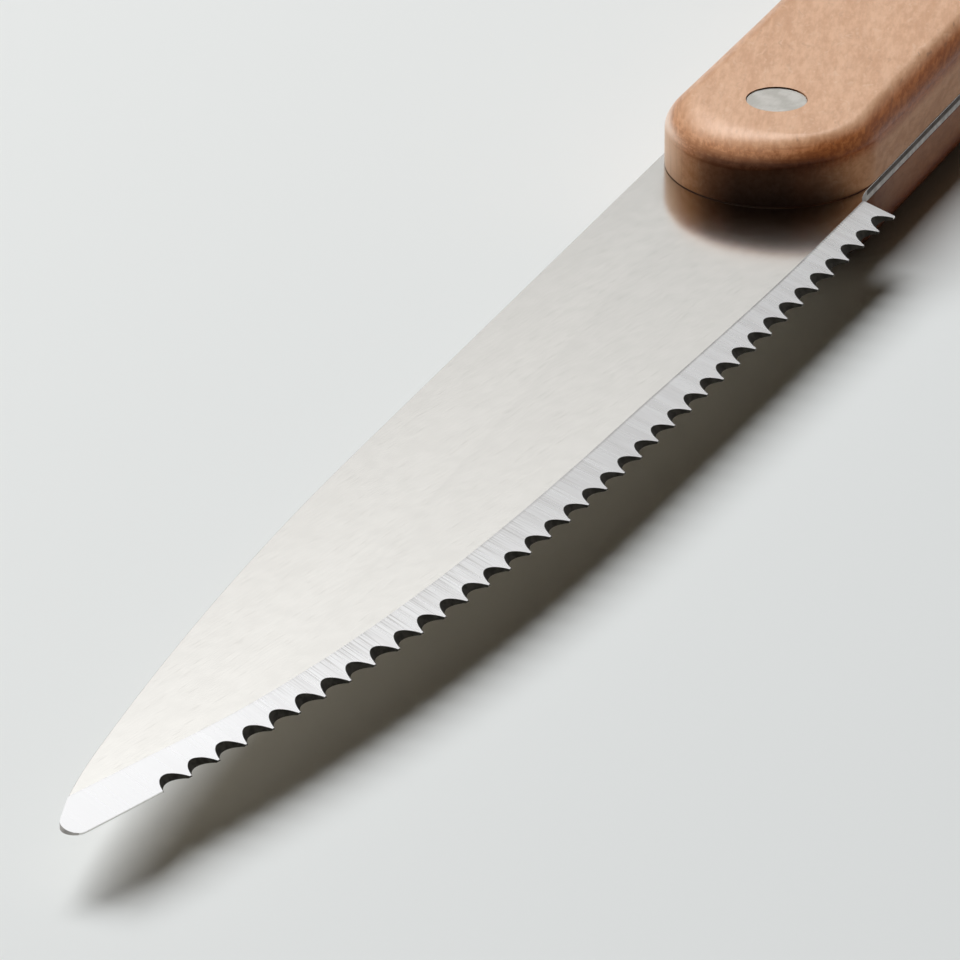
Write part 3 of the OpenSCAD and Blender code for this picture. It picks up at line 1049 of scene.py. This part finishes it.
finish_blade(blade_mesh)
counts = [sum(f.material_index == i for f in blade_mesh.polygons) for i in range(len(blade_mesh.materials))]
print("flat, ground, wall, gullet and tang faces:", counts)

# %% [markdown]
# ## Scales
# A scale is a bar with round ends whose outer rim is rounded over by sanding. A Bevel modifier would round it
# evenly all the way. Here a section is swept round the plan instead, from the face on the tang up to the top,
# so that it can change on the way. A person sands by hand, so the round wanders a little along the rim: a
# smooth noise makes it wider here and tighter there, never beyond the solid's own size. At the front it
# reaches far into the top face, where the hand rubs it, and along the sides it is sanded flatter, like a
# chamfer with soft edges. One extra ring just inside the top face keeps that face's shading flat.

# %% Sweep a scale
side_n = 48
end_n = 56
round_n = 16
wall_n = 3
hold = 0.0004
upper_ease = 0.00008
lower_ease = 0.00006
round_wander = 0.00020
wander_size = 0.011
side_power = 1.6
edge_side_less = 0.0005
less_from = 0.7
front_power = 2.2
front_reach = 0.0014
soft_side = polar(math.radians(-20))
upper_seed, lower_seed = 1.7, 5.2
wood_crease = math.radians(25)


def scale_path():
    """Points on the middle line of the rim, with their outward directions."""
    front = Vector((upper_hi.x - end_r, middle_y))
    rear = Vector((upper_lo.x + end_r, middle_y))
    path = [(front, polar(-math.pi / 2 + math.pi * i / end_n)) for i in range(end_n)]
    path += [(front.lerp(rear, i / side_n), polar(math.pi / 2)) for i in range(side_n)]
    path += [(rear, polar(math.pi / 2 + math.pi * i / end_n)) for i in range(end_n)]
    path += [(rear.lerp(front, i / side_n), polar(-math.pi / 2)) for i in range(side_n)]
    return path


def scale_section(ease, round_r, reach, power):
    """Distance out from the middle and height above the tang, from the tang's side to the top."""
    section = [(end_r - ease - hold, 0), (end_r - ease, 0), (end_r, ease)]
    wall = scale_t - round_r
    section += [(end_r, ease + (wall - ease) * i / wall_n) for i in range(1, wall_n)]
    for i in range(round_n + 1):
        angle = math.pi / 2 * i / round_n
        out, up = max(0, math.cos(angle)) ** (2 / power), math.sin(angle) ** (2 / power)
        section.append((end_r - reach + reach * out, wall + round_r * up))
    section.append((end_r - reach - hold, scale_t))
    return section


def sweep_scale(name, base_z, up, ease, side_less, seed):
    """A scale without its holes, standing on the tang at base_z, its top towards up."""
    columns = []
    for centre, away in scale_path():
        rim = centre + end_r * away
        wander = noise.noise(Vector((rim.x / wander_size, rim.y / wander_size, seed)))
        soft = max(0, away.dot(soft_side)) ** 3
        power = side_power + (front_power - side_power) * soft
        less = side_less * min(1, max(0, away.y) / less_from)
        round_r = scale_round - less + round_wander * wander
        section = scale_section(ease, round_r, round_r + front_reach * soft, power)
        columns.append([(centre.x + out * away.x, centre.y + out * away.y, base_z + up * z)
                        for out, z in section])
    rings = [list(ring) for ring in zip(*columns)]
    build = bmesh.new()
    loft(build, rings)
    return as_object(name, build)


upper_beech = sweep_scale("upper_beech", upper_lo.z, 1, upper_ease, edge_side_less, upper_seed)
lower_beech = sweep_scale("lower_beech", lower_hi.z, -1, lower_ease, 0.0, lower_seed)
print("swept", upper_beech.name, "and", lower_beech.name)

# %% Drill a scale for its rivets
seat_depth = head_t + head_sink
seat_gap = 0.00002
seat_n = 96


def scale_drill_tree():
    """The tree that cuts the rivets' holes and the seats of their heads."""
    example = {"First Hole": Vector(), "Step": Vector(), "Count": 0, "Seat Centre": Vector(),
               "Through Radius": 0.0, "Seat Radius": 0.0, "Through Height": 0.0, "Seat Height": 0.0,
               "Wood": upper_wood}
    tree, sizes, end = geometry_tree("drill_scale", example)
    drills = []
    for start, radius, height in (("First Hole", "Through Radius", "Through Height"),
                                  ("Seat Centre", "Seat Radius", "Seat Height")):
        drill = add(tree, "GeometryNodeMeshCylinder", {
            "Vertices": seat_n, "Radius": sizes[radius], "Depth": sizes[height]})
        points = rivet_places(tree, sizes[start], sizes["Step"], sizes["Count"])
        row = add(tree, "GeometryNodeInstanceOnPoints", {0: points.outputs[0], "Instance": drill.outputs[0]})
        drills.append(add(tree, "GeometryNodeRealizeInstances", {0: row.outputs[0]}).outputs[0])
    result = sizes["Geometry"]
    for drill in drills:
        result = cut(tree, result, drill)
    finish_tree(tree, result, sizes["Wood"], end)
    return tree


drill_tree = scale_drill_tree()
for wood, finish, top_z, mid_z in (
    (upper_beech, upper_wood, upper_hi.z, (upper_lo.z + upper_hi.z) / 2),
    (lower_beech, lower_wood, lower_lo.z, (lower_lo.z + lower_hi.z) / 2),
):
    wood_mesh = run_tree(wood, drill_tree, {
        "First Hole": Vector((front_rivet.x, middle_y, mid_z)),
        "Seat Centre": Vector((front_rivet.x, middle_y, top_z)),
        "Step": rivet_step, "Count": rivet_n,
        "Through Radius": sleeve_r + rivet_gap, "Through Height": 2 * scale_t,
        "Seat Radius": head_r + seat_gap, "Seat Height": 2 * seat_depth, "Wood": finish})
    shade(wood_mesh, wood_crease)

# %% [markdown]
# ## Rivets
# Each rivet has two halves: a hollow sleeve with a head in the upper scale, and a pin with a head in the
# lower one. A half is turned on a lathe, so it is a profile spun about its axis. The same half is wanted
# three times along the handle, which is again a rule, so a small tree repeats it.

# %% Turn one half and repeat it
lathe_n = 96
head_ease = 0.00005
ease_n = 4
bore_end_share = 0.999
pin_face_share = 0.5
metal_crease = math.radians(30)


def lathe(name, profile, centre, up):
    """A closed profile of radius and height, spun about the vertical through the centre."""
    build = bmesh.new()
    rings = []
    for radius, height in profile:
        turns = [polar(2 * math.pi * i / lathe_n) for i in range(lathe_n)]
        rings.append([(*(centre.xy + radius * turn), centre.z + up * height) for turn in turns])
    loft(build, rings)
    return as_object(name, build)


def rounded_head(top):
    """Outer profile of a head: its seat, its wall, an eased rim and its flat face."""
    rim = [(head_r - head_ease * (1 - math.cos(a)), top - head_ease * (1 - math.sin(a)))
           for a in (math.pi / 2 * i / ease_n for i in range(ease_n + 1))]
    return [(head_r, top - head_t)] + rim + [(head_r - 3 * head_ease, top)]


bore_r = pin_r + rivet_gap
grip_t = upper_hi.z - lower_lo.z - 2 * seat_depth
shank_l = grip_t - rivet_room
print("halves are", round(shank_l * 1000, 2), "mm long in the shank")


def repeat_tree():
    """The tree that repeats one half along the handle."""
    example = {"Step": Vector(), "Count": 0, "Metal": rivet_metal}
    tree, sizes, end = geometry_tree("repeat_along_handle", example)
    points = rivet_places(tree, (0, 0, 0), sizes["Step"], sizes["Count"])
    row = add(tree, "GeometryNodeInstanceOnPoints", {0: points.outputs[0], "Instance": sizes["Geometry"]})
    finish_tree(tree, row.outputs[0], sizes["Metal"], end)
    return tree


rivet_axis = Vector((front_rivet.x, middle_y, 0))
sleeve_foot = head_hi.z - head_t - shank_l
sleeves = lathe("rivet_sleeves", [
    (bore_r * bore_end_share, head_hi.z - head_t), (bore_r, sleeve_foot), (sleeve_r, sleeve_foot),
    (sleeve_r, head_hi.z - head_t), *rounded_head(head_hi.z)], rivet_axis, 1)
pin_top = pin_lo.z + head_t + shank_l
pins = lathe("rivet_pins", [
    (pin_r * pin_face_share, -pin_top), (pin_r, -pin_top),
    (pin_r, -pin_lo.z - head_t), *rounded_head(-pin_lo.z)], rivet_axis, -1)
row_tree = repeat_tree()
for half_row in (sleeves, pins):
    metal_mesh = run_tree(half_row, row_tree, {"Step": rivet_step, "Count": rivet_n, "Metal": rivet_metal})
    shade(metal_mesh, metal_crease)

# %% [markdown]
# ## Tie the pieces to the frame
# Nothing on this knife moves, so every piece rides on the one body. Each hides the solids it stands for and
# says which they are.

# %% Ride and replace
sleeve_nodes = ["front_rivet_sleeve", "middle_rivet_sleeve", "rear_rivet_sleeve"]
pin_nodes = ["front_rivet_pin", "middle_rivet_pin", "rear_rivet_pin"]
for piece, nodes, slot in (
    (ground_blade, ["blade"], "steel"),
    (upper_beech, ["upper_scale"], "beech"),
    (lower_beech, ["lower_scale"], "beech"),
    (sleeves, sleeve_nodes, "rivet_metal"),
    (pins, pin_nodes, "rivet_metal"),
):
    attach(piece, "root")
    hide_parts(*nodes)
    print(piece.name, "stands for", ", ".join(nodes))
